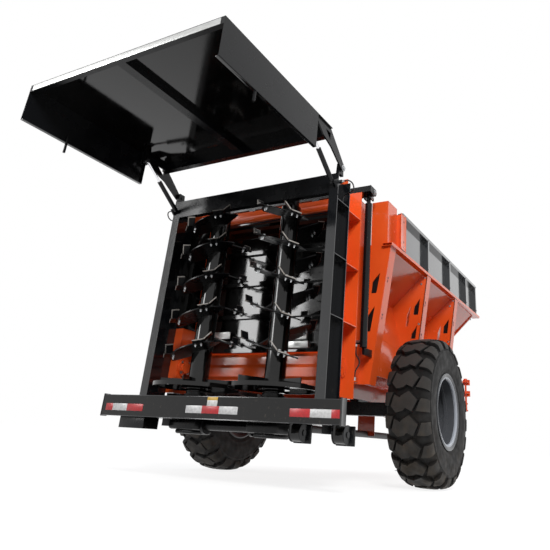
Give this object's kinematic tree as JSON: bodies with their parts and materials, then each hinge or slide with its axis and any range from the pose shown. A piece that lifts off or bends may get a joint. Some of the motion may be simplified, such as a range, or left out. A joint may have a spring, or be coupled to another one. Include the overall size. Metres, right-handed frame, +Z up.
{
  "type": "manure spreader",
  "caption": "Towed manure spreader: flared hopper on two large tyres, lift gate, upright beaters with bottom discs, raised rear hood, bumper bar and drawbar.",
  "frame": {"origin": "centre of the bounding box in plan, on the ground", "axes": "+X forward to the tow eye, +Y to the machine's left side, +Z up"},
  "size_m": [7.5119, 2.904, 2.917],
  "materials": {
    "orange_paint": "gloss",
    "black_paint": "gloss",
    "black_blade": "satin",
    "rim": "satin",
    "tyre": "matte",
    "raw_steel": "worn",
    "rod_chrome": "polished",
    "zinc": "zinc plated",
    "guard_plastic": "matte",
    "hose_rubber": "satin"
  },
  "bodies": {
    "chassis": {"axle": "black_paint", "beater_base": "black_paint", "beater_post_left": "black_paint", "beater_post_right": "black_paint", "beater_top_beam": "black_paint", "board_left": "black_paint", "board_right": "black_paint", "bumper": "black_paint", "chassis_frame": "orange_paint", "conveyor": "raw_steel", "conveyor_shaft": "raw_steel", "drawbar": "orange_paint", "drive_line": "guard_plastic", "flange_left": "orange_paint", "flange_right": "orange_paint", "floor": "orange_paint", "front_board": "black_paint", "front_wall": "orange_paint", "gate_header": "orange_paint", "gate_hoses": "hose_rubber", "gate_post_left": "orange_paint", "gate_post_right": "orange_paint", "gate_rams": "black_paint", "gussets_left": "orange_paint", "gussets_right": "orange_paint", "hood_hoses": "hose_rubber", "hood_lugs": "black_paint", "rear_corner_left": "orange_paint", "rear_corner_right": "orange_paint", "rear_sill": "orange_paint", "side_wall_left": "orange_paint", "side_wall_right": "orange_paint"},
    "wheel_left": {"tyre_left": "tyre", "rim_left": "rim"},
    "wheel_right": {"tyre_right": "tyre", "rim_right": "rim"},
    "beater_left": {"beater_tube_left": "black_paint", "beater_flights_left": "black_blade"},
    "beater_right": {"beater_tube_right": "black_paint", "beater_flights_right": "black_blade"},
    "gate": {"gate": "black_paint", "gate_lift": "black_paint"},
    "hood": {"hood_panel": "black_paint", "hood_skirts": "black_paint", "hood_arms": "black_paint", "hood_frame": "black_paint"},
    "hood_barrels": {"hood_rams": "black_paint"},
    "hood_rods": {"hood_rods": "rod_chrome"},
    "jack": {"jack_leg": "zinc"}
  },
  "joints": [
    {"name": "wheel_left_spin", "type": "hinge", "parent": "chassis", "child": "wheel_left", "pos_m": [-0.339, 1.234, 0.692], "axis": [0, 1, 0], "continuous": true},
    {"name": "wheel_right_spin", "type": "hinge", "parent": "chassis", "child": "wheel_right", "pos_m": [-0.339, -1.234, 0.692], "axis": [0, 1, 0], "continuous": true},
    {"name": "beater_left_spin", "type": "hinge", "parent": "chassis", "child": "beater_left", "pos_m": [-1.884, 0.412, 1.5], "axis": [0, 0, 1], "continuous": true},
    {"name": "beater_right_spin", "type": "hinge", "parent": "chassis", "child": "beater_right", "pos_m": [-1.884, -0.412, 1.5], "axis": [0, 0, 1], "continuous": true},
    {"name": "gate_lift", "type": "slide", "parent": "chassis", "child": "gate", "axis": [0, 0, 1], "range_m": [0, 1.15]},
    {"name": "hood_hinge", "type": "hinge", "parent": "chassis", "child": "hood", "pos_m": [-1.964, 0, 2.65], "axis": [0, -1, 0], "range_deg": [0, 84]},
    {"name": "hood_barrel_swing", "type": "hinge", "parent": "chassis", "child": "hood_barrels", "pos_m": [-2.039, 0, 2.485], "axis": [0, -1, 0], "range_deg": [0, 102.53]},
    {"name": "hood_rod_slide", "type": "slide", "parent": "hood_barrels", "child": "hood_rods", "axis": [-0.82, 0, 0.5723], "range_m": [-0.18656, 0]},
    {"name": "jack_slide", "type": "slide", "parent": "chassis", "child": "jack", "axis": [0, 0, 1], "range_m": [0, 0.35]}
  ],
  "couplings": [
    {"joint": "beater_right_spin", "follows": "beater_left_spin", "ratio": -1},
    {"joint": "hood_barrel_swing", "follows": "hood_hinge", "ratio": 1.2205},
    {"joint": "hood_rod_slide", "follows": "hood_hinge", "m_per_rad": -0.12691}
  ]
}
